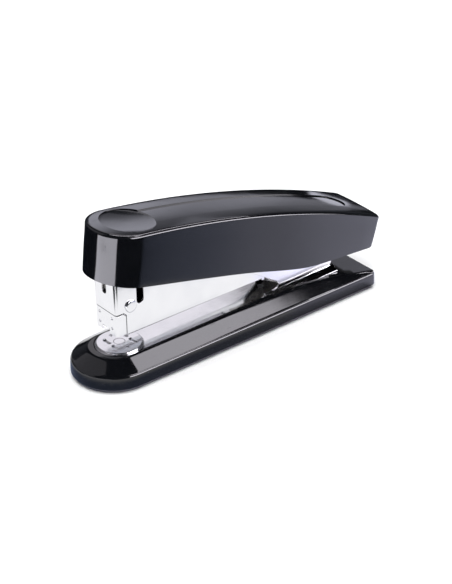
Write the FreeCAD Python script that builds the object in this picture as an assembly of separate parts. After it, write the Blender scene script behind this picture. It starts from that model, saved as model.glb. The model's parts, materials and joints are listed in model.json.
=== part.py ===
"""Desktop stapler: base, swinging magazine housing, handle, staple drawer and anvil.

Millimetres. The origin is on the desk under the middle of the base. +X runs to the
hinge end, +Y is the far side when the nose points left, +Z is up.
"""
import FreeCAD, Part
import math
import os

V = FreeCAD.Vector

# ---- base -------------------------------------------------------------------
base_length = 163.4
base_nose_radius = 20.0
base_tail_half_width = 21.6
sole_thickness = 2.0
sole_inset = 0.9
sole_tail_inset = 2.6
skirt_top = 8.8
skirt_flare = 0.7
rim_height = 13.7
rim_land = 1.4
deck_fall_length = 68.7
deck_tail_height = 9.0
shell_wall = 2.2
shell_deck_wall = 2.0
rib_thickness = 1.6
post_radius = 4.5
recess_depth = 2.4
finger_hole_radius = 7.0
nose_x = base_nose_radius - base_length / 2
tail_x = base_length / 2
deck_level_end = tail_x - deck_fall_length
recess_floor = rim_height - recess_depth
rib_positions = (nose_x + 31.7, nose_x + 61.7, tail_x - 39.7)

# ---- hinge ------------------------------------------------------------------
axle_x = tail_x - 27.4
axle_z = 31.0
axle_radius = 2.5
axle_gap = 0.06

# ---- magazine housing -------------------------------------------------------
sheet = 0.8
housing_half_width = 8.3
housing_front = nose_x - 4.1
housing_lower_front = nose_x + 2.0
housing_tail = tail_x - 60.9
housing_bottom = 22.1
housing_mouth_top = 34.4
mouth_corner = 1.6
housing_head_top = 58.0
housing_inner = housing_half_width - sheet
side_slot_x = nose_x + 9.8
side_slot_width = 4.0
side_slot_bottom = 36.3
front_slot_width = 3.2
front_slot_bottom = 43.0
front_corner_radius = 1.6
lip_reach = 2.0
spring_bridge_length = 13.8
dome_radius = 3.0
dome_rise = 1.2
dome_x = nose_x + 4.3
dome_z = 36.8

# ---- base rail and its hinge ears -------------------------------------------
rail_sheet = 1.0
rail_top = recess_floor + rail_sheet
rail_recess_gap = 0.2
rail_neck_step = 1.3
rail_neck_end = nose_x + 15.5
rail_tail = tail_x - 16.9
ear_gap = 0.2
ear_front = tail_x - 62.7
ear_tail = rail_tail - 2.4
ear_inner = housing_half_width + ear_gap
ear_outer = ear_inner + sheet
rail_half_width = ear_outer + 1.6
rail_neck_half_width = rail_half_width - rail_neck_step
rim_half_width = rail_half_width + rim_land
foot_half_width = ear_outer + 3.2
foot_height = 1.5
foot_edge = 0.7

# ---- anvil ------------------------------------------------------------------
anvil_x = nose_x + 3.0
anvil_radius = 11.5
anvil_gap = 0.1
anvil_flange = 1.4
anvil_boss_radius = 10.8
anvil_boss_height = 0.8
stem_radius = 2.5
stem_gap = 0.15
stem_foot = 3.2
clip_level = 4.2
clip_thickness = 0.6
clip_groove = 0.5

# ---- staple drawer ----------------------------------------------------------
drawer_gap = 0.3
nose_recess = 0.3
drawer_tail = tail_x - 43.7
drawer_top_gap = 0.6
drawer_floor_gap = 0.05
drawer_end_length = 4.0
drawer_half_width = housing_inner - drawer_gap
drawer_inner = drawer_half_width - sheet
drawer_bottom = housing_bottom + sheet + drawer_floor_gap
drawer_floor = drawer_bottom + sheet
drawer_top = housing_mouth_top - drawer_top_gap
nose_front = housing_front + nose_recess
nose_back = nose_front + sheet
nose_tail = housing_lower_front - 0.4
nose_half_width = housing_half_width - 0.1
notch_width = 5.4
notch_height = 2.4
dimple_radius = 0.8
dimple_spread = 4.65
dimple_heights = (26.3, 31.4)
core_half_width = 5.65
core_height = 5.9
core_sheet = 0.6
core_slot_width = 3.6
core_top = drawer_floor + core_height
rod_radius = 1.0
rod_z = drawer_floor + 2.5
slide_gap = 0.1
pusher_length = 16.0
pusher_bridge = 1.3
tongue_setback = 2.9
tongue_length = 6.0

# ---- driver -----------------------------------------------------------------
blade_thickness = 0.6
blade_half_width = drawer_inner - 0.3
blade_front = nose_back + slide_gap
blade_back = blade_front + blade_thickness
blade_top = 60.0
track_front = blade_back + 0.6
tongue_width = 2.8
tongue_height = 3.0
tongue_level = 56.6
arm_half_width = housing_inner - 0.6
arm_sheet = 1.2
arm_inner = arm_half_width - arm_sheet
arm_front = nose_x + 0.4
arm_tail = axle_x - 8.0
arm_front_top = 61.5
arm_front_bottom = 47.0
arm_tail_top = 47.0
arm_tail_bottom = 39.5
pin_radius = 1.2
pin_x = nose_x + 10.4
pin_z = 49.6

# ---- cover ------------------------------------------------------------------
cover_half_width = 16.1
cover_wall = 2.0
cover_ceiling = 2.6
cover_nose_x = nose_x + 4.1
cover_lean_deg = 6.8
cover_lean_height = 53.5
cover_edge_radius = 2.0
cover_front_edge = 54.6
cover_front_top = 79.4
cover_bend_1 = (nose_x + 68.0, 33.5)
cover_bend_2 = (tail_x - 41.9, 23.4)
cover_tail_low = (tail_x + 3.5, 19.2)
cover_tail_high = (tail_x + 8.3, 35.4)
cover_mid_top = (tail_x - 63.4, 60.9)
pad_x = nose_x + 10.5
pad_radius = 13.0
pad_depth = 0.9
channel_half_width = 7.2
channel_depth = 0.6
channel_tail = tail_x - 3.7
boss_radius = 3.2
boss_gap = 0.55
boss_positions = (nose_x + 23.7, tail_x - 59.7)
lug_x = nose_x + 87.0
lug_width = 2.6
lug_bottom = 25.6

# ---- springs, screws, release button ----------------------------------------
leaf_width = 8.0
leaf_thickness = 0.5
screw_radius = 1.5
screw_head_radius = 2.8
rail_screw_positions = (tail_x - 55.7, tail_x - 22.2)
handle_spring_x = nose_x + 71.7
handle_spring_radius = 3.6
handle_spring_wire = 1.0
seat_level = 37.0
seat_half_length = 6.0
button_stem_radius = 2.2
button_collar_radius = 3.4
sleeve_wall = 1.4
button_z = axle_z - axle_radius - sleeve_wall - button_collar_radius - 0.4
button_cap_radius = 4.6
button_cap_length = 6.0
button_web_front = axle_x - 8.3
button_web_tail = axle_x + 6.1
button_end = tail_x + 6.8
button_travel = 3.0
web_bottom = 20.6


def box(x0, x1, y0, y1, z0, z1):
    return Part.makeBox(x1 - x0, y1 - y0, z1 - z0, V(x0, y0, z0))


def rod(start, axis, radius, length):
    return Part.makeCylinder(radius, length, V(*start), V(*axis))


def tube(start, axis, outer, inner, length):
    return rod(start, axis, outer, length).cut(rod(start, axis, inner, length))


def side_plate(points, y0, y1):
    """A plate cut to an outline given in X and Z, from y0 to y1."""
    corners = [V(x, y0, z) for x, z in points]
    face = Part.Face(Part.makePolygon(corners + corners[:1]))
    return face.extrude(V(0, y1 - y0, 0))


def both_sides(shape):
    """The shape and its mirror image in the XZ plane."""
    return [shape, shape.mirror(V(0, 0, 0), V(0, 1, 0))]


def join(shapes):
    whole = shapes[0].multiFuse(shapes[1:])
    return whole.removeSplitter()


def nose_outline(centre, radius, tail, tail_half_width, z):
    """Round nose, sides that widen evenly to a square tail, at height z."""
    nose_low = V(centre, -radius, z)
    nose_tip = V(centre - radius, 0, z)
    nose_high = V(centre, radius, z)
    tail_high = V(tail, tail_half_width, z)
    tail_low = V(tail, -tail_half_width, z)
    return Part.Wire([
        Part.Arc(nose_low, nose_tip, nose_high).toShape(),
        Part.makeLine(nose_high, tail_high),
        Part.makeLine(tail_high, tail_low),
        Part.makeLine(tail_low, nose_low),
    ])


def nose_prism(centre, radius, tail, tail_half_width, z0, z1):
    outline = nose_outline(centre, radius, tail, tail_half_width, z0)
    return Part.Face(outline).extrude(V(0, 0, z1 - z0))


def coil(start, axis, radius, wire_radius, length, turns):
    """A round-wire compression spring with its axis from start along axis."""
    free = length - 2 * wire_radius
    helix = Part.makeHelix(free / turns, free, radius)
    circle = Part.makeCircle(wire_radius, V(radius, 0, 0), V(0, 1, 0))
    spring = Part.Wire(helix).makePipeShell([Part.Wire(circle)], True, True)
    spring.translate(V(0, 0, wire_radius))
    turn = FreeCAD.Rotation(V(0, 0, 1), V(*axis))
    spring.Placement = FreeCAD.Placement(V(*start), turn).multiply(spring.Placement)
    return spring


# ---- base body --------------------------------------------------------------------
def deck_cutter():
    """Everything above the deck, which is level and then falls in one arc to the tail."""
    drop = rim_height - deck_tail_height
    run = tail_x - deck_level_end
    middle = V(deck_level_end + run / 2, -60, rim_height - drop / 4)
    start = V(deck_level_end, -60, rim_height)
    end = V(tail_x, -60, deck_tail_height)
    beyond = tail_x + 5
    wire = Part.Wire([
        Part.Arc(start, middle, end).toShape(),
        Part.makeLine(end, V(beyond, -60, deck_tail_height)),
        Part.makeLine(V(beyond, -60, deck_tail_height), V(beyond, -60, 60)),
        Part.makeLine(V(beyond, -60, 60), V(deck_level_end, -60, 60)),
        Part.makeLine(V(deck_level_end, -60, 60), start),
    ])
    return Part.Face(wire).extrude(V(0, 120, 0))


def rail_recess():
    """Room for the rail in the top of the shell, a little larger than the rail."""
    half = rail_half_width + rail_recess_gap
    channel = box(anvil_x, rail_tail + rail_recess_gap, -half, half, recess_floor, 60)
    seat = rod((anvil_x, 0, recess_floor), (0, 0, 1), anvil_radius + 2 * rail_recess_gap, 60)
    foot = foot_half_width + rail_recess_gap
    foot_room = box(ear_front, rail_tail + rail_recess_gap, -foot, foot, recess_floor, 60)
    return join([channel, seat, foot_room])


def base_shell():
    skirt = Part.makeLoft([
        nose_outline(nose_x, base_nose_radius + skirt_flare, tail_x + skirt_flare,
                     base_tail_half_width + skirt_flare, sole_thickness),
        nose_outline(nose_x, base_nose_radius, tail_x, base_tail_half_width, skirt_top),
    ], True, True)
    slope = Part.makeLoft([
        nose_outline(nose_x, base_nose_radius, tail_x, base_tail_half_width, skirt_top),
        nose_outline(nose_x, rim_half_width, tail_x, rim_half_width, rim_height),
    ], True, True)
    body = join([skirt, slope]).cut(deck_cutter())
    hollow = nose_prism(nose_x, base_nose_radius - shell_wall, tail_x - shell_wall,
                        base_tail_half_width - shell_wall, sole_thickness, 7.0)
    upper_hollow = nose_prism(nose_x, rim_half_width - 2.4, rail_tail, rim_half_width - 2.4,
                              6.5, recess_floor - shell_deck_wall)
    rib_reach = base_nose_radius - shell_wall
    ribs = [box(x - rib_thickness / 2, x + rib_thickness / 2, -rib_reach, rib_reach, sole_thickness, 8.0)
            for x in rib_positions]
    posts = [rod((x, 0, sole_thickness + 1), (0, 0, 1), post_radius, 7.5) for x in rail_screw_positions]
    posts.append(rod((anvil_x, 0, 6.5), (0, 0, 1), post_radius + 1, 4.0))
    solid = join([body.cut(join([hollow, upper_hollow]))] + ribs + posts)
    holes = []
    for x in rail_screw_positions:
        holes.append(rod((x, 0, 0), (0, 0, 1), screw_radius + 0.1, 20))
        holes.append(rod((x, 0, 0), (0, 0, 1), 3.0, 6.6))
    holes.append(rod((anvil_x, 0, 0), (0, 0, 1), stem_radius + stem_gap, 20))
    return solid.cut(join([rail_recess()] + holes))


def sole_pad():
    pad = nose_prism(nose_x, base_nose_radius - sole_inset, tail_x - sole_tail_inset,
                     base_tail_half_width - sole_inset, 0, sole_thickness)
    finger_hole = rod((anvil_x, 0, 0), (0, 0, 1), finger_hole_radius, 5)
    return pad.cut(finger_hole)


def ear(y0, y1):
    """One hinge ear of the rail, with its slanted throat and its round eyelet."""
    throat = [
        (ear_front, recess_floor), (ear_front, rail_top), (ear_front + 9.6, rail_top + 2.3),
        (ear_front + 11.0, rail_top + 3.6), (ear_front + 9.6, rail_top + 5.6),
        (ear_front - 6.0, axle_z - 2.9), (ear_front - 6.0, axle_z), (axle_x - 10, axle_z + 6.6),
        (axle_x + 4, axle_z + 6.6), (axle_x + 8.5, axle_z), (ear_tail + 1.2, rail_top + 4.2),
        (ear_tail, rail_top + 1.7), (rail_tail, recess_floor),
    ]
    return side_plate(throat, y0, y1)


def base_rail():
    neck = rod((anvil_x, 0, recess_floor), (0, 0, 1), rail_neck_half_width, rail_sheet)
    neck_strip = box(anvil_x, rail_neck_end, -rail_neck_half_width, rail_neck_half_width,
                     recess_floor, rail_top)
    strip = box(rail_neck_end, rail_tail, -rail_half_width, rail_half_width, recess_floor, rail_top)
    foot_profile = [
        (ear_inner, recess_floor), (foot_half_width, recess_floor),
        (foot_half_width, recess_floor + foot_edge), (ear_outer, rail_top + foot_height),
        (ear_inner, rail_top + foot_height),
    ]
    corners = [V(ear_front + 2, y, z) for y, z in foot_profile]
    foot = Part.Face(Part.makePolygon(corners + corners[:1])).extrude(V(rail_tail - ear_front - 2, 0, 0))
    pieces = [neck, neck_strip, strip] + both_sides(foot) + both_sides(ear(ear_inner, ear_outer))
    rail = join(pieces)
    bores = [rod((axle_x, -30, axle_z), (0, 1, 0), axle_radius, 60)]
    bores.append(rod((anvil_x, 0, 0), (0, 0, 1), stem_radius + stem_gap, 20))
    for x in rail_screw_positions:
        bores.append(rod((x, 0, 0), (0, 0, 1), screw_radius, 20))
    return rail.cut(join(bores))


def rail_screws():
    screws = []
    for x in rail_screw_positions:
        head = rod((x, 0, 4.7), (0, 0, 1), screw_head_radius, 1.9)
        slot = box(x - 2.5, x + 2.5, -0.4, 0.4, 4.6, 5.4)
        shank = rod((x, 0, 6.6), (0, 0, 1), screw_radius, rail_top - 6.6)
        screws.append(join([head, shank]).cut(slot))
    return Part.makeCompound(screws)


def hinge_axle():
    reach = ear_outer + 1.6
    axle = rod((axle_x, -reach, axle_z), (0, 1, 0), axle_radius, 2 * reach)
    groove = tube((axle_x, ear_outer + 0.1, axle_z), (0, 1, 0), axle_radius + 1, axle_radius - 0.6, 0.7)
    return axle.cut(join(both_sides(groove)))


def axle_clips():
    clip = tube((axle_x, ear_outer + 0.1, axle_z), (0, 1, 0), axle_radius + 2.0, axle_radius - 0.6, 0.7)
    mouth = box(axle_x - 1.4, axle_x + 1.4, 0, 30, axle_z - 8, axle_z)
    return Part.makeCompound(both_sides(clip.cut(mouth)))


def lift_spring():
    """Leaf that holds the magazine up: riveted flat behind, sprung up to the magazine."""
    half = leaf_width / 2
    t = leaf_thickness
    low = rail_top
    high = housing_bottom - 0.05
    tip = housing_tail - 6.8
    root = tip + 20.0
    leaf = side_plate([
        (root + 10, low), (root + 10, low + t), (root, low + t), (tip + 4, high - 0.4), (tip, high),
        (tip - 4.5, high - 0.5), (tip - 4.5, high - 0.5 - t), (tip, high - t), (tip + 4, high - 0.4 - t),
        (root, low),
    ], -half, half)
    rivets = [rod((root + run, 0, low + t), (0, 0, 1), 1.8, 0.8) for run in (3.0, 7.5)]
    return join([leaf] + rivets)


# ---- anvil body ------------------------------------------------------------------------
def anvil_disc():
    low = rail_top + anvil_gap
    flange = rod((anvil_x, 0, low), (0, 0, 1), anvil_radius, anvil_flange)
    boss = rod((anvil_x, 0, low), (0, 0, 1), anvil_boss_radius, anvil_flange + anvil_boss_height)
    disc = join([flange, boss])
    top = low + anvil_flange + anvil_boss_height
    staple_x = (nose_back + track_front) / 2
    pockets = []
    for direction in (1, -1):
        centre = anvil_x + direction * (staple_x - anvil_x)
        for side in (1, -1):
            inner = rod((centre - 0.8, side * 3.4, top + 1.9), (1, 0, 0), 2.6, 1.6)
            pockets.append(inner)
    disc = disc.cut(join(pockets))
    return disc.cut(rod((anvil_x, 0, low - 1), (0, 0, 1), stem_radius, 10))


def anvil_stem():
    low = stem_foot
    head_top = rail_top + anvil_gap + anvil_flange + anvil_boss_height
    post = rod((anvil_x, 0, low), (0, 0, 1), stem_radius, head_top - low)
    groove = tube((anvil_x, 0, clip_level), (0, 0, 1), stem_radius + 1, stem_radius - clip_groove,
                  clip_thickness)
    return post.cut(groove)


def anvil_clip():
    return tube((anvil_x, 0, clip_level), (0, 0, 1), stem_radius + 2.2, stem_radius - clip_groove,
                clip_thickness)


def anvil_spring():
    start = clip_level + clip_thickness + 0.05
    return coil((anvil_x, 0, start), (0, 0, 1), stem_radius + 0.75, 0.3, 6.4 - start, 1.5)


# ---- magazine body ------------------------------------------------------------------------
def housing_wall(y0, y1):
    """One side of the housing: head, long straight side and the arm that reaches the axle."""
    outline = [
        (housing_front, housing_mouth_top), (housing_lower_front - mouth_corner, housing_mouth_top),
        (housing_lower_front, housing_mouth_top - mouth_corner), (housing_lower_front, housing_bottom),
        (housing_tail, housing_bottom), (axle_x - 12, web_bottom), (axle_x + 8, web_bottom),
        (axle_x + 8, axle_z + 3), (axle_x + 4, axle_z + 5.5), (axle_x - 6, axle_z + 6.5),
        (nose_x + 41.7, housing_head_top - 8), (housing_front, housing_head_top),
    ]
    return side_plate(outline, y0, y1)


def magazine_housing():
    walls = both_sides(housing_wall(housing_inner, housing_half_width))
    front = box(housing_front, housing_front + sheet, -housing_half_width, housing_half_width,
                housing_mouth_top, housing_head_top)
    lip = box(housing_lower_front, housing_tail, housing_inner - lip_reach, housing_half_width,
              housing_bottom, housing_bottom + sheet)
    spring_bridge = box(housing_tail - spring_bridge_length, housing_tail, -housing_inner, housing_inner,
                        housing_bottom, housing_bottom + sheet)
    seat = box(handle_spring_x - seat_half_length, handle_spring_x + seat_half_length,
               -housing_inner, housing_inner, seat_level - sheet, seat_level)
    webs = [box(x, x + sheet, -housing_inner, housing_inner, web_bottom, axle_z - axle_radius - 0.3)
            for x in (button_web_front, button_web_tail)]
    tab = box(housing_tail - 0.8, housing_tail + 0.8, -housing_half_width, -housing_inner,
              housing_bottom - 1.0, housing_bottom + 1.0)
    housing = join(walls + [front, spring_bridge, seat, tab] + both_sides(lip) + webs)
    corner_edges = [edge for edge in housing.Edges if is_front_corner(edge)]
    housing = housing.makeFillet(front_corner_radius, corner_edges)
    half_slot = side_slot_width / 2
    cuts = [
        box(side_slot_x - half_slot, side_slot_x + half_slot, -30, 30,
            side_slot_bottom + half_slot, 80),
        rod((side_slot_x, -30, side_slot_bottom + half_slot), (0, 1, 0), half_slot, 60),
        box(housing_front - 5, housing_front + 5, -front_slot_width / 2, front_slot_width / 2,
            front_slot_bottom + front_slot_width / 2, 80),
        rod((housing_front - 5, 0, front_slot_bottom + front_slot_width / 2), (1, 0, 0),
            front_slot_width / 2, 10),
        rod((axle_x, -30, axle_z), (0, 1, 0), axle_radius + axle_gap, 60),
        rod((button_web_front - 5, 0, button_z), (1, 0, 0), button_stem_radius + 0.15, 30),
        rod((dome_x, -30, dome_z), (0, 1, 0), dome_radius / 2, 60),
    ]
    return housing.cut(join(cuts))


def is_front_corner(edge):
    """True for the two upright outer edges of the housing's closed front."""
    low, high = edge.Vertexes[0].Point, edge.Vertexes[-1].Point
    upright = abs(low.x - high.x) < 1e-6 and abs(low.y - high.y) < 1e-6
    at_front = abs(low.x - housing_front) < 1e-6
    at_side = abs(abs(low.y) - housing_half_width) < 1e-6
    return upright and at_front and at_side


def housing_rivets():
    """Round-headed rivets, one on each side of the head."""
    ball_radius = dome_radius * 1.6
    ball = Part.makeSphere(ball_radius, V(dome_x, housing_half_width + dome_rise - ball_radius, dome_z))
    head = ball.common(rod((dome_x, housing_half_width, dome_z), (0, 1, 0), dome_radius, 4))
    shank = rod((dome_x, housing_inner, dome_z), (0, 1, 0), dome_radius / 2, sheet)
    return Part.makeCompound(both_sides(join([head, shank])))


def axle_washers():
    washer = tube((axle_x, arm_half_width + 0.05, axle_z), (0, 1, 0), axle_radius + 1.8,
                  axle_radius + axle_gap, housing_inner - arm_half_width - 0.1)
    return Part.makeCompound(both_sides(washer))


def handle_spring():
    length = arm_web_underside(handle_spring_x) - 0.9 - seat_level
    return coil((handle_spring_x, 0, seat_level + 0.05), (0, 0, 1), handle_spring_radius,
                handle_spring_wire / 2, length, 5)


# ---- driver blade body ---------------------------------------------------------------------
def driver_blade():
    low = drawer_top + 0.2
    blade = box(blade_front, blade_back, -blade_half_width, blade_half_width, low, blade_top)
    window = box(blade_front - 1, blade_back + 1, -tongue_width / 2 - 0.2, tongue_width / 2 + 0.2,
                 tongue_level - 0.4, tongue_level + tongue_height + 0.4)
    return blade.cut(window)


# ---- handle body -----------------------------------------------------------------------------
def arm_top(x):
    """Height of the driver arm's top at x."""
    share = (x - arm_front) / (arm_tail - arm_front)
    return arm_front_top + share * (arm_tail_top - arm_front_top)


def arm_web_underside(x):
    return arm_top(x) - arm_sheet


def driver_arm():
    outline = [
        (arm_front, arm_front_bottom), (arm_tail - 2, arm_tail_bottom), (arm_tail + 2, axle_z + 2),
        (axle_x - 4, axle_z - 4.5), (axle_x + 4, axle_z - 4.5), (axle_x + 5.5, axle_z + 2),
        (axle_x + 3, axle_z + 9), (arm_tail, arm_tail_top), (arm_front, arm_front_top),
    ]
    plates = both_sides(side_plate(outline, arm_inner, arm_half_width))
    web = side_plate([
        (arm_front, arm_front_top - arm_sheet), (arm_tail, arm_tail_top - arm_sheet),
        (arm_tail, arm_tail_top), (arm_front, arm_front_top),
    ], -arm_half_width, arm_half_width)
    nose = box(arm_front, arm_front + arm_sheet, -arm_half_width, arm_half_width,
               arm_front_bottom + 5, arm_front_top)
    tongue = box(blade_front - 0.5, arm_front + arm_sheet, -tongue_width / 2, tongue_width / 2,
                 tongue_level, tongue_level + tongue_height)
    arm = join(plates + [web, nose, tongue])
    cuts = [rod((axle_x, -30, axle_z), (0, 1, 0), axle_radius + axle_gap, 60)]
    cuts.append(rod((pin_x, -30, pin_z), (0, 1, 0), pin_radius, 60))
    for x in boss_positions:
        cuts.append(rod((x, 0, 40), (0, 0, 1), screw_radius + 0.1, 40))
    return arm.cut(join(cuts))


def stroke_pin():
    """Cross pin that runs in the housing's side slots and limits the handle's stroke."""
    reach = housing_half_width - 0.1
    return rod((pin_x, -reach, pin_z), (0, 1, 0), pin_radius, 2 * reach)


def axle_sleeve():
    return tube((axle_x, -arm_inner, axle_z), (0, 1, 0), axle_radius + sleeve_wall, axle_radius + axle_gap,
                2 * arm_inner)


def cover_profile(offset, ceiling):
    """Side view of the cover, drawn in by offset at the ends and by ceiling at the top."""
    front = cover_nose_x - cover_half_width - 12
    low = -1.0 if offset == 0 else -8.0
    grow = 0.0 if offset == 0 else 8.0
    top_front = V(front, -40, cover_front_top - ceiling)
    top_mid = V(cover_mid_top[0], -40, cover_mid_top[1] - ceiling)
    top_tail = V(cover_tail_high[0] - offset, -40, cover_tail_high[1] - ceiling)
    slope = (cover_bend_1[1] - cover_front_edge) / (cover_bend_1[0] - (cover_nose_x - cover_half_width))
    edge_front = cover_bend_1[1] + slope * (front - cover_bend_1[0])
    corners = [
        V(cover_tail_low[0] - offset, -40, cover_tail_low[1] - grow),
        V(cover_bend_2[0], -40, cover_bend_2[1] - grow),
        V(cover_bend_1[0], -40, cover_bend_1[1] - grow),
        V(front, -40, edge_front - grow),
    ]
    edges = [Part.Arc(top_front, top_mid, top_tail).toShape()]
    path = [top_tail] + corners + [top_front]
    for start, end in zip(path, path[1:]):
        edges.append(Part.makeLine(start, end))
    return Part.Face(Part.Wire(edges)).extrude(V(0, 80, 0))


def cover_plan(offset):
    """Plan of the cover, swept up along the line in which its nose leans back."""
    half = cover_half_width - offset
    lean = math.tan(math.radians(cover_lean_deg))
    outline = nose_outline(cover_nose_x - lean * cover_lean_height, half, tail_x + 60, half, 0)
    return Part.Face(outline).extrude(V(lean * 100, 0, 100))


def cover_bosses(under):
    bosses = []
    for x in boss_positions:
        bosses.append(rod((x, 0, arm_top(x) + boss_gap), (0, 0, 1), boss_radius, 40))
    return join(bosses).common(under)


def handle_cover():
    outer = cover_profile(0, 0).common(cover_plan(0))
    top_edges = [edge for edge in outer.Edges if is_cover_top_edge(edge)]
    outer = outer.makeFillet(cover_edge_radius, top_edges)
    inner = cover_profile(cover_wall, cover_ceiling).common(cover_plan(cover_wall))
    shell = outer.cut(inner)
    shell = shell.fuse(cover_bosses(outer))
    lug = box(lug_x - lug_width / 2, lug_x + lug_width / 2, cover_half_width - cover_wall,
              cover_half_width, lug_bottom, lug_bottom + 5.4)
    shell = shell.multiFuse(both_sides(lug))
    pad = pad_dish()
    channel = top_channel()
    window = box(cover_tail_low[0] - 6, cover_tail_high[0] + 6, -8.0, 8.0, 15.0, 31.5)
    holes = [rod((x, 0, 30), (0, 0, 1), screw_radius - 0.1, arm_top(x) + 6.6 - 30) for x in boss_positions]
    return shell.cut(join([pad, window] + holes)).cut(channel).removeSplitter()


def is_cover_top_edge(edge):
    """True for the edges all round the cover's top, but not for upright ones."""
    low, high = edge.Vertexes[0].Point, edge.Vertexes[-1].Point
    box_ = edge.BoundBox
    on_top = all(p.z > cover_top(p.x) - 0.6 for p in (low, high))
    return on_top and (box_.XLength > 3 or box_.YLength > 3)


def cover_top(x):
    """Height of the cover's crest at x, on the arc through its three driving points."""
    front = cover_nose_x - cover_half_width - 12
    ax, az = front, cover_front_top
    bx, bz = cover_mid_top
    cx, cz = cover_tail_high
    d = 2 * (ax * (bz - cz) + bx * (cz - az) + cx * (az - bz))
    sa, sb, sc = ax * ax + az * az, bx * bx + bz * bz, cx * cx + cz * cz
    ox = (sa * (bz - cz) + sb * (cz - az) + sc * (az - bz)) / d
    oz = (sa * (cx - bx) + sb * (ax - cx) + sc * (bx - ax)) / d
    radius = math.hypot(ax - ox, az - oz)
    return oz + math.sqrt(radius * radius - (x - ox) ** 2)


def pad_dish():
    """Round shallow dish for the finger, square to the cover's top at its own place."""
    slope = (cover_top(pad_x + 1) - cover_top(pad_x - 1)) / 2
    normal = V(-slope, 0, 1)
    normal.normalize()
    floor = V(pad_x, 0, cover_top(pad_x)) - normal * pad_depth
    return Part.makeCylinder(pad_radius, 12, floor, normal)


def top_channel():
    """Shallow channel in the top, from the finger dish to its round tail."""
    half = channel_half_width
    start = pad_x + pad_radius - 1.0
    strip = box(start, channel_tail - half, -half, half, 20, 100)
    end = rod((channel_tail - half, 0, 20), (0, 0, 1), half, 80)
    plan = join([strip, end])
    return plan.cut(cover_profile(0, channel_depth))


def cover_screws():
    screws = []
    for x in boss_positions:
        head_level = arm_web_underside(x) - 2.2
        shank = rod((x, 0, head_level + 1.8), (0, 0, 1), screw_radius - 0.1, 8.0)
        head = rod((x, 0, head_level), (0, 0, 1), screw_head_radius, 1.8)
        screws.append(join([head, shank]))
    return Part.makeCompound(screws)


# ---- drawer body --------------------------------------------------------------------------------
def drawer_channel():
    floor = box(track_front, drawer_tail, -drawer_inner, drawer_inner, drawer_bottom, drawer_floor)
    wall = box(nose_tail, drawer_tail, drawer_inner, drawer_half_width, drawer_bottom, drawer_top)
    return join([floor] + both_sides(wall))


def drawer_nose():
    """Front plate with returned sides: staples leave behind it, through the open bottom."""
    block = box(nose_front, nose_tail, -nose_half_width, nose_half_width, drawer_bottom, drawer_top)
    rear_top = [edge for edge in block.Edges
                if all(abs(corner.Point.x - nose_tail) < 1e-6 and abs(corner.Point.z - drawer_top) < 1e-6
                       for corner in edge.Vertexes)]
    outer = block.makeChamfer(mouth_corner, rear_top)
    upright = [edge for edge in outer.Edges
               if abs(edge.Vertexes[0].Point.x - nose_front) < 1e-6
               and abs(edge.Vertexes[-1].Point.x - nose_front) < 1e-6
               and abs(edge.Vertexes[0].Point.z - edge.Vertexes[-1].Point.z) > 5]
    outer = outer.makeFillet(1.5, upright)
    inner = box(nose_back, 0, -drawer_inner, drawer_inner, 0, 60)
    notch = box(nose_front - 1, nose_back + 0.01, -notch_width / 2, notch_width / 2, 0,
                drawer_bottom + notch_height)
    plate = outer.cut(join([inner, notch]))
    dimples = []
    for side in (1, -1):
        for height in dimple_heights:
            spot = V(nose_front - 0.35, side * dimple_spread, height)
            dimples.append(Part.makeSphere(dimple_radius, spot))
    return plate.cut(join(dimples))


def staple_core():
    """Inverted channel that the staples straddle, slotted along its top for the pusher."""
    tail = drawer_tail - drawer_end_length
    outer = box(track_front, tail, -core_half_width, core_half_width, drawer_floor, core_top)
    inner_half = core_half_width - core_sheet
    inner = box(track_front + core_sheet, tail, -inner_half, inner_half,
                drawer_floor, core_top - core_sheet)
    slot = box(track_front + 1.5, tail, -core_slot_width / 2, core_slot_width / 2, drawer_floor, core_top + 1)
    bore = rod((track_front - 1, 0, rod_z), (1, 0, 0), rod_radius, 10)
    return outer.cut(join([inner, slot, bore]))


def drawer_end():
    end = box(drawer_tail - drawer_end_length, drawer_tail, -drawer_inner, drawer_inner,
              drawer_floor, drawer_top)
    return end.cut(rod((drawer_tail - drawer_end_length - 2, 0, rod_z), (1, 0, 0), rod_radius, 10))


def guide_rod():
    return rod((track_front + 0.02, 0, rod_z), (1, 0, 0), rod_radius, drawer_tail - track_front - 1.0)


# ---- pusher body ----------------------------------------------------------------------------------
def pusher_tongue_front():
    return track_front + tongue_setback


def pusher():
    front = blade_back + 0.2
    back = front + pusher_length
    outer_half = drawer_inner - slide_gap
    inner_half = core_half_width + slide_gap
    top = core_top + slide_gap + pusher_bridge
    leg = box(front, back, inner_half, outer_half, drawer_floor + 0.3, top)
    bridge = box(front, back, -outer_half, outer_half, core_top + slide_gap, top)
    tongue_half = core_slot_width / 2 - slide_gap
    tongue = box(pusher_tongue_front(), pusher_tongue_front() + tongue_length, -tongue_half, tongue_half,
                 drawer_floor + 0.4, core_top + 1)
    body = join(both_sides(leg) + [bridge, tongue])
    return body.cut(rod((front - 1, 0, rod_z), (1, 0, 0), rod_radius + 0.07, 40))


def pusher_spring():
    start = pusher_tongue_front() + tongue_length + 0.05
    return coil((start, 0, rod_z), (1, 0, 0), rod_radius + 0.55, 0.25,
                drawer_tail - drawer_end_length - 0.1 - start, 22)


# ---- release button --------------------------------------------------------------------------------
def release_button():
    front = drawer_tail + 0.4 + button_travel
    stem = rod((front, 0, button_z), (1, 0, 0), button_stem_radius, button_end - button_cap_length - front)
    collar = rod((button_web_tail - 2.1, 0, button_z), (1, 0, 0), button_collar_radius, 2.0)
    return join([stem, collar])


def button_cap():
    cap = rod((button_end - button_cap_length, 0, button_z), (1, 0, 0), button_cap_radius,
              button_cap_length)
    outer_edge = [edge for edge in cap.Edges if abs(edge.BoundBox.XMin - button_end) < 1e-6]
    return cap.makeFillet(1.0, outer_edge)


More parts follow.
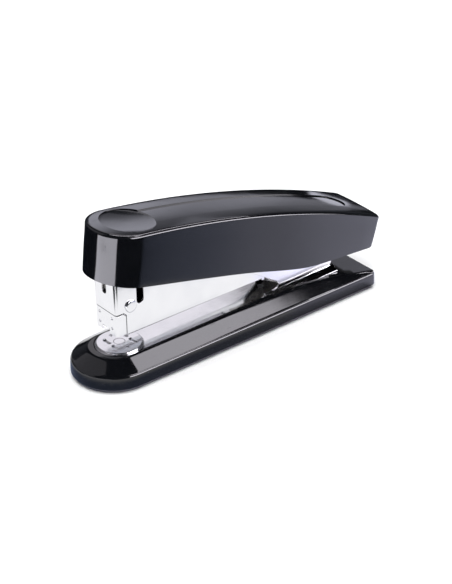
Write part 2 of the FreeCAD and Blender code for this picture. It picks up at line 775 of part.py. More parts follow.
def button_spring():
    start = button_web_front + sheet + 0.05
    end = button_web_tail - 2.15
    return coil((start, 0, button_z), (1, 0, 0), button_stem_radius + 0.6, 0.35, end - start, 5)


NODES = {
    "base_shell": base_shell,
    "sole_pad": sole_pad,
    "base_rail": base_rail,
    "rail_screws": rail_screws,
    "hinge_axle": hinge_axle,
    "axle_clips": axle_clips,
    "lift_spring": lift_spring,
    "anvil_disc": anvil_disc,
    "anvil_stem": anvil_stem,
    "anvil_clip": anvil_clip,
    "anvil_spring": anvil_spring,
    "magazine_housing": magazine_housing,
    "housing_rivets": housing_rivets,
    "axle_washers": axle_washers,
    "handle_spring": handle_spring,
    "driver_blade": driver_blade,
    "driver_arm": driver_arm,
    "stroke_pin": stroke_pin,
    "axle_sleeve": axle_sleeve,
    "handle_cover": handle_cover,
    "cover_screws": cover_screws,
    "drawer_channel": drawer_channel,
    "drawer_nose": drawer_nose,
    "staple_core": staple_core,
    "drawer_end": drawer_end,
    "guide_rod": guide_rod,
    "pusher": pusher,
    "pusher_spring": pusher_spring,
    "release_button": release_button,
    "button_cap": button_cap,
    "button_spring": button_spring,
}

os.makedirs("parts", exist_ok=True)
for name, make in NODES.items():
    shape = make()
    shape.exportStep("parts/" + name + ".step")
    size = shape.BoundBox
    print(name, len(shape.Solids), shape.isValid(), round(shape.Volume, 1),
          [round(v, 1) for v in (size.XMin, size.XMax, size.YMin, size.YMax, size.ZMin, size.ZMax)])
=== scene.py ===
import json
import math

import bmesh
import bpy
from mathutils import Matrix, Vector


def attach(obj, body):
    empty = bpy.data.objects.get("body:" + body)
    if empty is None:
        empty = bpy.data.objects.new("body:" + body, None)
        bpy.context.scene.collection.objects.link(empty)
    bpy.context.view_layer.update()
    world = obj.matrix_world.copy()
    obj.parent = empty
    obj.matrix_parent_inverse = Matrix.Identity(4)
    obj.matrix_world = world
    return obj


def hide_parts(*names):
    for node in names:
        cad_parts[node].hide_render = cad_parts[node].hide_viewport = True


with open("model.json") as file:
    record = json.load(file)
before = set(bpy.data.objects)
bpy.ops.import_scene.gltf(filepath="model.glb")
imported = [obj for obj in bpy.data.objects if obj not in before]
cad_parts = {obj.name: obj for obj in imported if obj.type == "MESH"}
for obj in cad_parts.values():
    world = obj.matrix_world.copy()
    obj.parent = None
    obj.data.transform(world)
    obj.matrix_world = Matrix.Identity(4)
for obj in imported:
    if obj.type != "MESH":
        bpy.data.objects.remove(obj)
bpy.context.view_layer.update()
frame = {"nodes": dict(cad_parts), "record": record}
nodes = frame["nodes"]
scene = bpy.context.scene
print("frame loaded:", len(nodes), "nodes")


# small helpers

def linear(code):
    # sRGB hex to the linear values that a shader takes
    parts = [int(code[i:i + 2], 16) / 255 for i in (1, 3, 5)]
    return tuple(p / 12.92 if p <= 0.04045 else ((p + 0.055) / 1.055) ** 2.4 for p in parts) + (1.0,)


def addNode(tree, kind, settings=None, links=None):
    # a node with its own settings (attributes or input values) and what feeds it
    node = tree.nodes.new(kind)
    for key, value in (settings or {}).items():
        if isinstance(key, str) and hasattr(node, key):
            setattr(node, key, value)
        else:
            node.inputs[key].default_value = value
    for key, source in (links or {}).items():
        tree.links.new(source, node.inputs[key])
    return node


def startMaterial(name, settings):
    material = bpy.data.materials.new(name)
    material.use_nodes = True
    tree = material.node_tree
    shader = tree.nodes["Principled BSDF"]
    for key, value in settings.items():
        shader.inputs[key].default_value = value
    place = addNode(tree, "ShaderNodeTexCoord").outputs["Object"]
    return material, tree, shader, place


def perMetre(millimetres):
    # noise scale that gives features of about this size
    return 1000.0 / millimetres


def noise(tree, place, millimetres, detail):
    return addNode(tree, "ShaderNodeTexNoise", {"Scale": perMetre(millimetres), "Detail": detail},
                   {"Vector": place})


def twoTone(tree, first, second, source):
    return addNode(tree, "ShaderNodeMix", {"data_type": "RGBA", 6: linear(first), 7: linear(second)},
                   {0: source.outputs["Fac"]})


def rangeOf(tree, source, low, high, fromLow=0.0, fromHigh=1.0):
    return addNode(tree, "ShaderNodeMapRange",
                   {"From Min": fromLow, "From Max": fromHigh, "To Min": low, "To Max": high},
                   {"Value": source.outputs["Fac"]})


def bumpOf(tree, source, strength, distance):
    return addNode(tree, "ShaderNodeBump", {"Strength": strength, "Distance": distance},
                   {"Height": source.outputs["Fac"]})


def wired(material, tree, shader, colour, rough, bump):
    tree.links.new(colour.outputs[2], shader.inputs["Base Color"])
    tree.links.new(rough.outputs[0], shader.inputs["Roughness"])
    tree.links.new(bump.outputs[0], shader.inputs["Normal"])
    return material


# camera

cameraSetup = dict(azimuth=-38.753, elevation=30.474, roll=-0.77, distance=0.9258,
                   slideRight=0.051263, slideUp=0.0362, lens=123.3, frontToMiddle=0.0617)


def placeCamera(setup):
    a, e, r = (math.radians(setup[k]) for k in ("azimuth", "elevation", "roll"))
    back = Vector((math.sin(a) * math.cos(e), -math.cos(a) * math.cos(e), math.sin(e)))
    flatRight = Vector((math.cos(a), math.sin(a), 0))
    flatUp = back.cross(flatRight)
    right = flatRight * math.cos(r) + flatUp * math.sin(r)
    up = flatUp * math.cos(r) - flatRight * math.sin(r)
    spot = right * setup["slideRight"] + up * setup["slideUp"] + back * setup["distance"]
    spot.x -= setup["frontToMiddle"]
    data = bpy.data.cameras.new("studioCamera")
    data.lens = setup["lens"]
    data.sensor_width = 36
    data.clip_end = 20
    camera = bpy.data.objects.new("studioCamera", data)
    camera.matrix_world = Matrix((right, up, back)).transposed().to_4x4()
    camera.location = spot
    scene.collection.objects.link(camera)
    scene.camera = camera


placeCamera(cameraSetup)
print("camera placed")


# materials

def makeGlossBlackAbs():
    # ABS moulded against a polished tool: near-black, mirror-like, with the faint waviness
    # of the moulding in its reflections and hairline scuffs from handling
    m, t, shader, place = startMaterial("moulded gloss black ABS", {
        "IOR": 1.54, "Coat Weight": 0.0, "Specular IOR Level": 0.5})
    wave = noise(t, place, 14, 1.0)
    smudge = addNode(t, "ShaderNodeTexNoise", {"Scale": perMetre(22), "Detail": 4.0, "Roughness": 0.6},
                     {"Vector": place})
    tone = rangeOf(t, smudge, 0.05, 0.10, 0.3, 0.7)
    stretch = addNode(t, "ShaderNodeMapping", {"Scale": (0.12, 1.0, 1.0), "Rotation": (0, 0, 0.35)},
                      {"Vector": place})
    hair = noise(t, stretch.outputs[0], 0.9, 2.0)
    hairMask = rangeOf(t, hair, 0.0, 0.10, 0.68, 0.74)
    rough = addNode(t, "ShaderNodeMath", {"operation": "ADD"}, {0: tone.outputs[0], 1: hairMask.outputs[0]})
    colour = twoTone(t, "#08090b", "#0e0f13", smudge)
    bump = bumpOf(t, wave, 0.02, 0.002)
    return wired(m, t, shader, colour, rough, bump)


def makeBrightChrome():
    # chrome-plated steel sheet: a bright mirror, slightly streaked along the length by the rolling
    # of the sheet under the plating
    m, t, shader, place = startMaterial("bright chrome plate on rolled sheet", {"Metallic": 1.0})
    stretch = addNode(t, "ShaderNodeMapping", {"Scale": (0.06, 1.0, 1.0)}, {"Vector": place})
    streak = noise(t, stretch.outputs[0], 0.8, 3.0)
    cloud = noise(t, place, 12, 3.0)
    rough = rangeOf(t, cloud, 0.07, 0.15, 0.3, 0.7)
    colour = twoTone(t, "#eaeaeb", "#e1e1e3", cloud)
    bump = bumpOf(t, streak, 0.03, 0.0002)
    return wired(m, t, shader, colour, rough, bump)


def makeSoleRubber():
    # grey rubber sheet, cut: matt, with a fine calendered grain
    m, t, shader, place = startMaterial("calendered grey rubber", {"IOR": 1.5, "Specular IOR Level": 0.4})
    grain = noise(t, place, 0.5, 3.0)
    cloud = noise(t, place, 9, 3.0)
    colour = twoTone(t, "#55545c", "#605f68", cloud)
    rough = rangeOf(t, grain, 0.6, 0.85)
    bump = bumpOf(t, grain, 0.4, 0.0002)
    return wired(m, t, shader, colour, rough, bump)


def makeSpringSteel():
    # hardened spring steel, oiled: grey, drawn lines along the strip, slightly warm from tempering
    m, t, shader, place = startMaterial("tempered spring steel", {"Metallic": 1.0})
    stretch = addNode(t, "ShaderNodeMapping", {"Scale": (0.08, 1.0, 1.0)}, {"Vector": place})
    line = noise(t, stretch.outputs[0], 0.4, 3.0)
    cloud = noise(t, place, 5, 3.0)
    colour = twoTone(t, "#9b9a98", "#b5b3ae", cloud)
    rough = rangeOf(t, line, 0.18, 0.38)
    bump = bumpOf(t, line, 0.15, 0.0002)
    return wired(m, t, shader, colour, rough, bump)


def makeZincSteel():
    # zinc-plated turned steel: pale bluish grey, softly mottled by the passivation
    m, t, shader, place = startMaterial("zinc-plated turned steel", {"Metallic": 1.0})
    cloud = noise(t, place, 2.5, 4.0)
    colour = twoTone(t, "#b9bec4", "#d3d6d6", cloud)
    rough = rangeOf(t, cloud, 0.2, 0.42)
    bump = bumpOf(t, cloud, 0.1, 0.0002)
    return wired(m, t, shader, colour, rough, bump)


def makeBlackNylon():
    # glass-filled nylon, moulded against a sparked tool: satin black with a fine grain
    m, t, shader, place = startMaterial("sparked black nylon", {"IOR": 1.53})
    grain = noise(t, place, 0.35, 2.0)
    cloud = noise(t, place, 7, 3.0)
    colour = twoTone(t, "#101011", "#19191b", cloud)
    rough = rangeOf(t, grain, 0.35, 0.5)
    bump = bumpOf(t, grain, 0.25, 0.0001)
    return wired(m, t, shader, colour, rough, bump)


finishes = {
    "black_gloss": makeGlossBlackAbs(),
    "bright_chrome": makeBrightChrome(),
    "sole_rubber": makeSoleRubber(),
    "spring_steel": makeSpringSteel(),
    "zinc_steel": makeZincSteel(),
    "black_nylon": makeBlackNylon(),
}
nodeSlots = {part["node"]: part["material_slot"] for part in frame["record"]["subparts"]}
for name, node in nodes.items():
    node.data.materials.clear()
    node.data.materials.append(finishes[nodeSlots[name]])
print("materials made:", len(finishes), "for", len(nodeSlots), "nodes")


# shape helpers: everything is modelled in millimetres and made metres at the end

def loopEdges(bm, ring):
    return [bm.edges.get((a, b)) for a, b in zip(ring, ring[1:] + ring[:1])]


def growRing(bm, ring, places):
    # extrudes a closed ring of vertices and puts the new ones at these places, in the same order
    grown = bmesh.ops.extrude_edge_only(bm, edges=loopEdges(bm, ring))["geom"]
    fresh = {g for g in grown if isinstance(g, bmesh.types.BMVert)}
    following = []
    for vertex, place in zip(ring, places):
        twin = next(e.other_vert(vertex) for e in vertex.link_edges if e.other_vert(vertex) in fresh)
        twin.co = place
        following.append(twin)
    return following


def firstRing(bm, places, capped=False):
    circle = bmesh.ops.create_circle(bm, segments=len(places), radius=1.0, cap_ends=capped, cap_tris=True)
    ring = [v for v in circle["verts"] if not (capped and len(v.link_edges) == len(places))]
    ring.sort(key=lambda v: math.atan2(v.co.y, v.co.x) % math.tau)
    for vertex, place in zip(ring, places):
        vertex.co = place
    return ring


def mirroredLoop(half):
    # half runs from the nose to the tail on the near (+Y) side, both ends on the middle line
    return half + [Vector((p[0], -p[1], p[2])) for p in half[-2:0:-1]]


def share(low, high, t):
    return low + (high - low) * t


def between(path, x):
    # smooth height at x along a list of (x, z) points
    if x <= path[0][0]:
        return path[0][1]
    for i in range(len(path) - 1):
        (x0, z0), (x1, z1) = path[i], path[i + 1]
        if x <= x1:
            before = path[max(i - 1, 0)]
            after = path[min(i + 2, len(path) - 1)]
            s0 = (z1 - before[1]) / (x1 - before[0]) * (x1 - x0)
            s1 = (after[1] - z0) / (after[0] - x0) * (x1 - x0)
            t = (x - x0) / (x1 - x0)
            a, b = 2 * t ** 3 - 3 * t * t + 1, t ** 3 - 2 * t * t + t
            return z0 * a + s0 * b + z1 * (1 - a) + s1 * (t ** 3 - t * t)
    return path[-1][1]


def circleThrough(p, q, r):
    d = 2 * (p[0] * (q[1] - r[1]) + q[0] * (r[1] - p[1]) + r[0] * (p[1] - q[1]))
    pp, qq, rr = (a[0] ** 2 + a[1] ** 2 for a in (p, q, r))
    x = (pp * (q[1] - r[1]) + qq * (r[1] - p[1]) + rr * (p[1] - q[1])) / d
    z = (pp * (r[0] - q[0]) + qq * (p[0] - r[0]) + rr * (q[0] - p[0])) / d
    return x, z, math.hypot(p[0] - x, p[1] - z)


def finishPiece(bm, name, body, replaced, finish, wall=0.0, bevel=0.0, sharpDeg=32):
    bmesh.ops.remove_doubles(bm, verts=bm.verts[:], dist=0.001)
    bmesh.ops.recalc_face_normals(bm, faces=bm.faces[:])
    bmesh.ops.scale(bm, vec=(0.001, 0.001, 0.001), verts=bm.verts[:])
    for face in bm.faces:
        face.smooth = True
    mesh = bpy.data.meshes.new(name)
    bm.to_mesh(mesh)
    bm.free()
    piece = bpy.data.objects.new(name, mesh)
    scene.collection.objects.link(piece)
    mesh.materials.append(finishes[finish])
    if wall:
        solid = piece.modifiers.new("wall", "SOLIDIFY")
        solid.thickness = wall / 1000
        solid.offset = -1
        solid.use_quality_normals = True
    if bevel:
        soften = piece.modifiers.new("edges", "BEVEL")
        soften.width = bevel / 1000
        soften.segments = 3
        soften.limit_method = "ANGLE"
        soften.angle_limit = math.radians(sharpDeg)
        soften.profile = 0.5
        weigh = piece.modifiers.new("shading", "WEIGHTED_NORMAL")
        weigh.keep_sharp = True
    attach(piece, body)
    if replaced:
        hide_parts(*replaced)
    print("made", name, len(mesh.polygons), "faces")
    return piece


# handle cover

coverShape = dict(
    halfWidth=16.1, noseX=-57.6, leanDeg=6.8, leanHeight=53.5, sideBow=0.25,
    crestFront=(-85.7, 79.4), crestMiddle=(18.3, 60.9), crestTail=(90.0, 35.4), crown=0.5,
    tailTop=89.5, tailSlope=0.296, cornerRadius=2.2, edgeRadius=1.5, edgeSteps=6, wallSteps=7,
    lowerEdge=[(-78, 55.3), (-55.7, 49.2), (-23.3, 41.2), (6.3, 33.5), (27.3, 27.1), (39.8, 23.7),
               (48.9, 22.2), (67.7, 20.6), (85.0, 19.2)],
    padX=-51.2, padRadius=13.0, padDepth=0.75, padHollow=0.55,
    channelHalf=7.2, channelDepth=0.6, channelTail=78.0,
    noseSteps=22, sideSteps=28, tailSteps=6, wall=2.0, bevel=0.22,
    padRings=(4.5, 7.0, 9.5, 11.5, 12.6), topRings=(0.12, 0.35, 0.6, 0.82, 1.0), tailOutline=(9.6, 4.8, 0.0))


def makeCover(c):
    half, padX, padR = c["halfWidth"], c["padX"], c["padRadius"]
    lean = math.tan(math.radians(c["leanDeg"]))
    arcX, arcZ, arcR = circleThrough(c["crestFront"], c["crestMiddle"], c["crestTail"])

    def top(x, y):
        return arcZ + math.sqrt(arcR ** 2 - (x - arcX) ** 2) - c["crown"] * (y / half) ** 2

    slope = (top(padX + 1, 0) - top(padX - 1, 0)) / 2

    def padFloor(x, y):
        away = ((x - padX) ** 2 + y * y) / padR ** 2
        return top(padX, 0) + slope * (x - padX) - c["padDepth"] - c["padHollow"] * (1 - away)

    def floorAt(x, y):
        return Vector((x, y, top(x, y) - c["channelDepth"]))

    # the dish: rings of points round its middle, closer together where it opens into the channel
    mouth = math.asin(c["channelHalf"] / padR)
    angles = [share(math.pi, mouth, i / c["noseSteps"]) for i in range(c["noseSteps"])]
    angles += [share(mouth, 0, i / c["tailSteps"]) for i in range(c["tailSteps"] + 1)]
    ringAngles = angles + [-a for a in angles[-2:0:-1]]

    def dishRing(radius, lift=0.0):
        spots = [(padX + radius * math.cos(a), radius * math.sin(a)) for a in ringAngles]
        return [Vector((x, y, padFloor(x, y) + lift)) for x, y in spots]

    bm = bmesh.new()
    ring = firstRing(bm, dishRing(2.0), capped=True)
    middle = next(v for v in bm.verts if v not in ring)
    middle.co = (padX, 0, padFloor(padX, 0))
    for radius in c["padRings"]:
        ring = growRing(bm, ring, dishRing(radius))
    ring = growRing(bm, ring, dishRing(padR - 0.12, 0.04))
    ring = growRing(bm, ring, [floorAt(p.x, p.y) for p in dishRing(padR)])

    # the channel: the mouth's row of points carried to the round tail
    count = len(ring)
    first = c["noseSteps"]
    row = ring[first:count - first + 1]
    tailCentre = c["channelTail"] - c["channelHalf"]
    span = len(row) - 1
    starts = [v.co.copy() for v in row]
    ends = []
    for i in range(span + 1):
        turn = share(math.pi / 2, -math.pi / 2, i / span)
        ends.append((tailCentre + c["channelHalf"] * math.cos(turn), c["channelHalf"] * math.sin(turn)))
    near, far = [], []
    for step in range(1, c["sideSteps"] + 1):
        t = step / c["sideSteps"]
        edges = [bm.edges.get((a, b)) for a, b in zip(row, row[1:])]
        grown = bmesh.ops.extrude_edge_only(bm, edges=edges)["geom"]
        fresh = {g for g in grown if isinstance(g, bmesh.types.BMVert)}
        following = []
        for vertex, a, b in zip(row, starts, ends):
            twin = next(e.other_vert(vertex) for e in vertex.link_edges if e.other_vert(vertex) in fresh)
            twin.co = floorAt(share(a.x, b[0], t), share(a.y, b[1], t ** 0.5 if abs(b[1]) > 7 else t))
            following.append(twin)
        row = following
        near.append(row[0])
        far.append(row[-1])
    front = ring[:first + 1]
    back = ring[count - first + 1:]
    rim = front + near[:-1] + row + far[-2::-1] + [ring[count - first]] + back

    # where each point of that rim goes on the cover's own outline
    noseTop = c["noseX"] + lean * (top(-52, 0) - c["leanHeight"])
    joinX = padX + half / math.tan(mouth)
    outline = []
    for a in angles[:first + 1]:
        cx, sy = math.cos(a), math.sin(a)
        gap = padX - noseTop
        reach = -gap * cx + math.sqrt((gap * cx) ** 2 - gap * gap + half * half)
        if padX + reach * cx > noseTop:
            reach = half / sy
        outline.append((padX + reach * cx, reach * sy))
    for step in range(1, c["sideSteps"] + 1):
        outline.append((share(joinX, 80.0, step / c["sideSteps"]), half))
    tailX, r = c["tailTop"], c["cornerRadius"]
    outline += [(tailX - r, half), (tailX - r * 0.29, half - r * 0.29), (tailX, half - r)]
    outline += [(tailX, y) for y in c["tailOutline"]]
    outline[0] = (outline[0][0], 0.0)

    def outward(x, y):
        if x < noseTop:
            return Vector((x - noseTop, y, 0)).normalized()
        if x > tailX - r + 0.01:
            return Vector((x - (tailX - r), max(y - (half - r), 0), 0)).normalized()
        return Vector((0, 1, 0))

    edge = c["edgeRadius"]
    normals = [outward(x, y) for x, y in outline]
    shoulder = [(x - n.x * edge, max(y - n.y * edge, 0)) for (x, y), n in zip(outline, normals)]
    rimHalf = [v.co.copy() for v in rim[:len(outline)]]

    def overTop(t):
        spots = [(share(k.x, s[0], t), share(k.y, s[1], t)) for k, s in zip(rimHalf, shoulder)]
        return mirroredLoop([Vector((x, y, top(x, y))) for x, y in spots])

    ring = growRing(bm, rim, overTop(0.0))
    for t in c["topRings"]:
        ring = growRing(bm, ring, overTop(t))
    for step in range(1, c["edgeSteps"] + 1):
        turn = math.pi / 2 * step / c["edgeSteps"]
        spots = []
        for (x, y), n in zip(outline, normals):
            inset = edge * (1 - math.sin(turn))
            px, py = x - n.x * inset, max(y - n.y * inset, 0)
            spots.append(Vector((px, py, top(px, py) - edge * (1 - math.cos(turn)))))
        ring = growRing(bm, ring, mirroredLoop(spots))
    upper = [v.co.copy() for v in ring[:len(outline)]]

    def wallPoint(p, t):
        slide = 0.0
        noseShare = min(max((-30 - p.x) / 20, 0), 1)
        tailShare = min(max((p.x - 60) / 25, 0), 1)
        x = p.x
        for _ in range(4):
            low = between(c["lowerEdge"], x)
            z = share(p.z, low, t)
            slide = -lean * (p.z - z) * noseShare - c["tailSlope"] * (p.z - z) * tailShare
            x = p.x + slide
        bow = c["sideBow"] * (2 * t - 1) ** 2
        return Vector((x, max(p.y - bow * min(p.y / half * 4, 1), 0), z))

    for step in range(1, c["wallSteps"] + 1):
        ring = growRing(bm, ring, mirroredLoop([wallPoint(p, step / c["wallSteps"]) for p in upper]))
    return finishPiece(bm, "handleCover", "handle", ["handle_cover"], "black_gloss", wall=c["wall"],
                       bevel=c["bevel"])


makeCover(coverShape)


# base shell

baseShape = dict(
    noseX=-61.7, tailX=81.7, noseRadius=20.0, tailHalf=21.6, soleTop=2.0, skirtTop=8.8,
    rimHeight=13.7, rimHalf=12.3, deckLevelEnd=13.0, deckTail=9.0, cornerRadius=2.0,
    recessFloor=11.3, seatX=-58.7, seatRadius=11.9, recessHalf=11.1,
    footX=19.0, footHalf=12.7, recessTail=65.0,
    skirt=[(-0.22, 8.74), (0.0, 8.5), (0.2, 8.2), (0.34, 7.8), (0.42, 7.2), (0.5, 6.0), (0.56, 4.6),
           (0.6, 3.2), (0.6, 2.6), (0.54, 2.2), (0.4, 2.0)],
    deckRings=(0.2, 0.4, 0.6, 0.8, 0.92, 1.0), slopeRings=(0.06, 0.15, 0.35, 0.6, 0.85, 0.96), innerTop=7.0,
    rimSoftness=0.16, noseSteps=26, sideSteps=52, endSteps=8, wall=2.2)


def makeBase(c):
    noseX, tailX, r = c["noseX"], c["tailX"], c["cornerRadius"]

    def sideHalf(x):
        return share(c["noseRadius"], c["tailHalf"], max(x - noseX, 0) / (tailX - noseX))

    def deck(x):
        run = max(x - c["deckLevelEnd"], 0) / (tailX - c["deckLevelEnd"])
        return c["rimHeight"] - (c["rimHeight"] - c["deckTail"]) * run * run

    def shellTop(x, y):
        # the lower of the sloping flank and the deck, run softly into each other
        out = math.hypot(x - noseX, y) if x < noseX else abs(y)
        rise = (c["rimHeight"] - c["skirtTop"]) * (sideHalf(x) - out) / (sideHalf(x) - c["rimHalf"])
        flank, level, soft = c["skirtTop"] + rise, deck(x), c["rimSoftness"]
        if flank - level <= -5:
            return flank
        return -soft * math.log(math.exp(-(flank - level) / soft) + 1.0) + level

    def outline(grow):
        # half of the outline, drawn out by grow, from the nose tip to the middle of the tail
        spots = []
        for i in range(c["noseSteps"]):
            a = share(math.pi, math.pi / 2, i / c["noseSteps"])
            radius = c["noseRadius"] + grow
            spots.append((noseX + radius * math.cos(a), radius * math.sin(a)))
        for i in range(c["sideSteps"] + 1):
            x = share(noseX, tailX - r, i / c["sideSteps"])
            spots.append((x, sideHalf(x) + grow))
        for turn in (30, 60, 90):
            a = math.radians(turn)
            spots.append((tailX - r + (r + grow) * math.sin(a),
                          c["tailHalf"] - r + (r + grow) * math.cos(a)))
        for i in range(1, c["endSteps"] + 1):
            spots.append((tailX + grow, share(c["tailHalf"] - r, 0, i / c["endSteps"])))
        spots[0] = (spots[0][0], 0.0)
        return spots

    def ringAt(spots, height):
        return mirroredLoop([Vector((x, y, height)) for x, y in spots])

    plan = outline(0)
    recess = []
    reach = math.asin(c["recessHalf"] / c["seatRadius"])
    for i in range(c["noseSteps"]):
        a = share(math.pi, math.pi - reach, i / c["noseSteps"])
        recess.append((c["seatX"] + c["seatRadius"] * math.cos(a), c["seatRadius"] * math.sin(a)))
    seatSide = [share(math.pi - reach, reach, i / 12) for i in range(13)]
    for a in seatSide:
        recess.append((c["seatX"] + c["seatRadius"] * math.cos(a), c["seatRadius"] * math.sin(a)))
    left = c["sideSteps"] - 12
    startX = recess[-1][0]
    for i in range(1, left + 1):
        x = share(startX, c["recessTail"], i / left)
        recess.append((x, c["recessHalf"] if x < c["footX"] else c["footHalf"]))
    for i in range(3 + c["endSteps"]):
        recess.append((c["recessTail"], c["footHalf"] * (1 - (i + 1) / (3 + c["endSteps"]))))
    recess[0] = (recess[0][0], 0.0)

    # the rim, where flank and deck meet, never inside the room for the rail's foot
    rim = []
    for (x, y), (rx, ry) in zip(plan, recess):
        if x < noseX:
            pull = c["rimHalf"] / c["noseRadius"]
            rim.append((noseX + (x - noseX) * pull, y * pull))
        elif x > tailX - r - 0.01:
            rim.append((x - 0.35, max(y - 0.35 * (y > c["tailHalf"] - r), 0)))
        else:
            drop = (c["rimHeight"] - deck(x)) / (c["rimHeight"] - c["skirtTop"])
            least = ry + 0.12 if rx > c["footX"] - 2 else 0
            rim.append((x, max(share(c["rimHalf"], sideHalf(x), drop) - 0.1, least)))

    def overTop(a, b, t):
        spots = [(share(p[0], q[0], t), share(p[1], q[1], t)) for p, q in zip(a, b)]
        return mirroredLoop([Vector((x, y, shellTop(x, y))) for x, y in spots])

    bm = bmesh.new()
    floor = [(x, y, min(c["recessFloor"], deck(x) - 0.02)) for x, y in recess]
    inner = [Vector((share(x, 0 if x < 60 else 60, 0.02), y * 0.96, z)) for x, y, z in floor]
    ring = firstRing(bm, mirroredLoop(inner))
    bmesh.ops.holes_fill(bm, edges=bm.edges[:], sides=0)
    ring = growRing(bm, ring, mirroredLoop([Vector(p) for p in floor]))
    ring = growRing(bm, ring, overTop(recess, rim, 0.0))
    for t in c["deckRings"]:
        ring = growRing(bm, ring, overTop(recess, rim, t))
    for t in c["slopeRings"]:
        ring = growRing(bm, ring, overTop(rim, plan, t))
    for grow, height in c["skirt"]:
        ring = growRing(bm, ring, ringAt(outline(grow), height))
    ring = growRing(bm, ring, ringAt(outline(-c["wall"]), c["soleTop"]))
    ring = growRing(bm, ring, ringAt(outline(-c["wall"]), c["innerTop"]))
    bmesh.ops.holes_fill(bm, edges=loopEdges(bm, ring), sides=0)
    return finishPiece(bm, "baseShell", "base", ["base_shell"], "black_gloss", bevel=0.15, sharpDeg=40)


makeBase(baseShape)


# sheet-metal and hardware pieces: the CAD solid with its edges broken as a press or a lathe leaves them

hardware = dict(
    magazineHousing=("magazine_housing", "magazine", "bright_chrome", 0.16),
    baseRail=("base_rail", "base", "bright_chrome", 0.16),
    drawerNose=("drawer_nose", "drawer", "bright_chrome", 0.18),
    drawerChannel=("drawer_channel", "drawer", "bright_chrome", 0.14),
    solePad=("sole_pad", "base", "sole_rubber", 0.35),
    driverArm=("driver_arm", "handle", "spring_steel", 0.14),
    buttonCap=("button_cap", "button", "black_nylon", 0.4))


def breakEdges(name, node, body, finish, width):
    bm = bmesh.new()
    bm.from_mesh(nodes[node].data)
    bmesh.ops.remove_doubles(bm, verts=bm.verts[:], dist=0.000002)
    bmesh.ops.dissolve_limit(bm, angle_limit=math.radians(0.6), verts=bm.verts[:], edges=bm.edges[:])
    if name == "magazineHousing":
        # the lower edges of its long sides are rolled under, rounder than a cut edge
        low = min(v.co.z for v in bm.verts if abs(v.co.y) > 0.0082 and v.co.x < 0) + 0.00005
        rolled = [e for e in bm.edges if e.calc_length() > 0.01 and all(
            v.co.z < low and abs(v.co.y) > 0.00825 and v.co.x < 0.03 for v in e.verts)]
        bmesh.ops.bevel(bm, geom=rolled, offset=0.0006, offset_type="OFFSET", segments=4, profile=0.5,
                        affect="EDGES", material=-1)
        print("rolled edges:", len(rolled))
    for face in bm.faces:
        face.smooth = True
    mesh = bpy.data.meshes.new(name)
    bm.to_mesh(mesh)
    bm.free()
    mesh.materials.append(finishes[finish])
    piece = bpy.data.objects.new(name, mesh)
    scene.collection.objects.link(piece)
    soften = piece.modifiers.new("edges", "BEVEL")
    soften.width = width / 1000
    soften.segments = 2
    soften.limit_method = "ANGLE"
    soften.angle_limit = math.radians(35)
    soften.profile = 0.5
    soften.use_clamp_overlap = True
    weigh = piece.modifiers.new("shading", "WEIGHTED_NORMAL")
    weigh.keep_sharp = True
    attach(piece, body)
    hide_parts(node)
    print("made", name, len(mesh.polygons), "faces")


for name, (node, body, finish, width) in hardware.items():
    breakEdges(name, node, body, finish, width)


# turned pieces: rings of points swept round an axis

def turned(bm, profile, place, steps):
    # place gives the point at radius r, angle a and height h; the first and last rings stay open
    spots = [math.tau * i / steps for i in range(steps)]
    first = ring = firstRing(bm, [place(profile[0][0], a, profile[0][1]) for a in spots])
    for r, h in profile[1:]:
        ring = growRing(bm, ring, [place(r, a, h) for a in spots])
    return first, ring


rivetShape = dict(x=-57.4, z=36.8, seat=8.3, radius=3.0, rise=0.8, rim=0.3, steps=64)


def makeRivets(c):
    bm = bmesh.new()
    r, rise, rim = c["radius"], c["rise"], c["rim"]
    profile = [(r, -0.2), (r, 0.0), (r, (rise - rim) / 2), (r, rise - rim)]
    for turn in (22, 45, 67, 90):
        a = math.radians(turn)
        profile.append((r - rim * (1 - math.cos(a)), rise - rim * (1 - math.sin(a))))
    profile += [(r * 0.7, rise + 0.05), (r * 0.35, rise + 0.07), (r * 0.1, rise + 0.075)]
    for side in (1, -1):
        ends = turned(bm, profile, lambda q, a, h: Vector((c["x"] + q * math.cos(a), side * (c["seat"] + h),
                                                           c["z"] + q * math.sin(a))), c["steps"])
        for ring in ends:
            bmesh.ops.holes_fill(bm, edges=loopEdges(bm, ring), sides=0)
    return finishPiece(bm, "headRivets", "magazine", ["housing_rivets"], "bright_chrome")


anvilShape = dict(x=-58.7, low=12.4, flangeTop=13.8, top=14.6, radius=11.5, bossRadius=10.8, stemRadius=2.5,
                  pocketX=-63.6, pocketY=3.4, pocketHalf=(0.7, 2.5), pocketDepth=0.4, pocketBow=0.09,
                  markY=6.6, markRadius=0.75, markDepth=0.12, steps=224, ringStep=0.22)


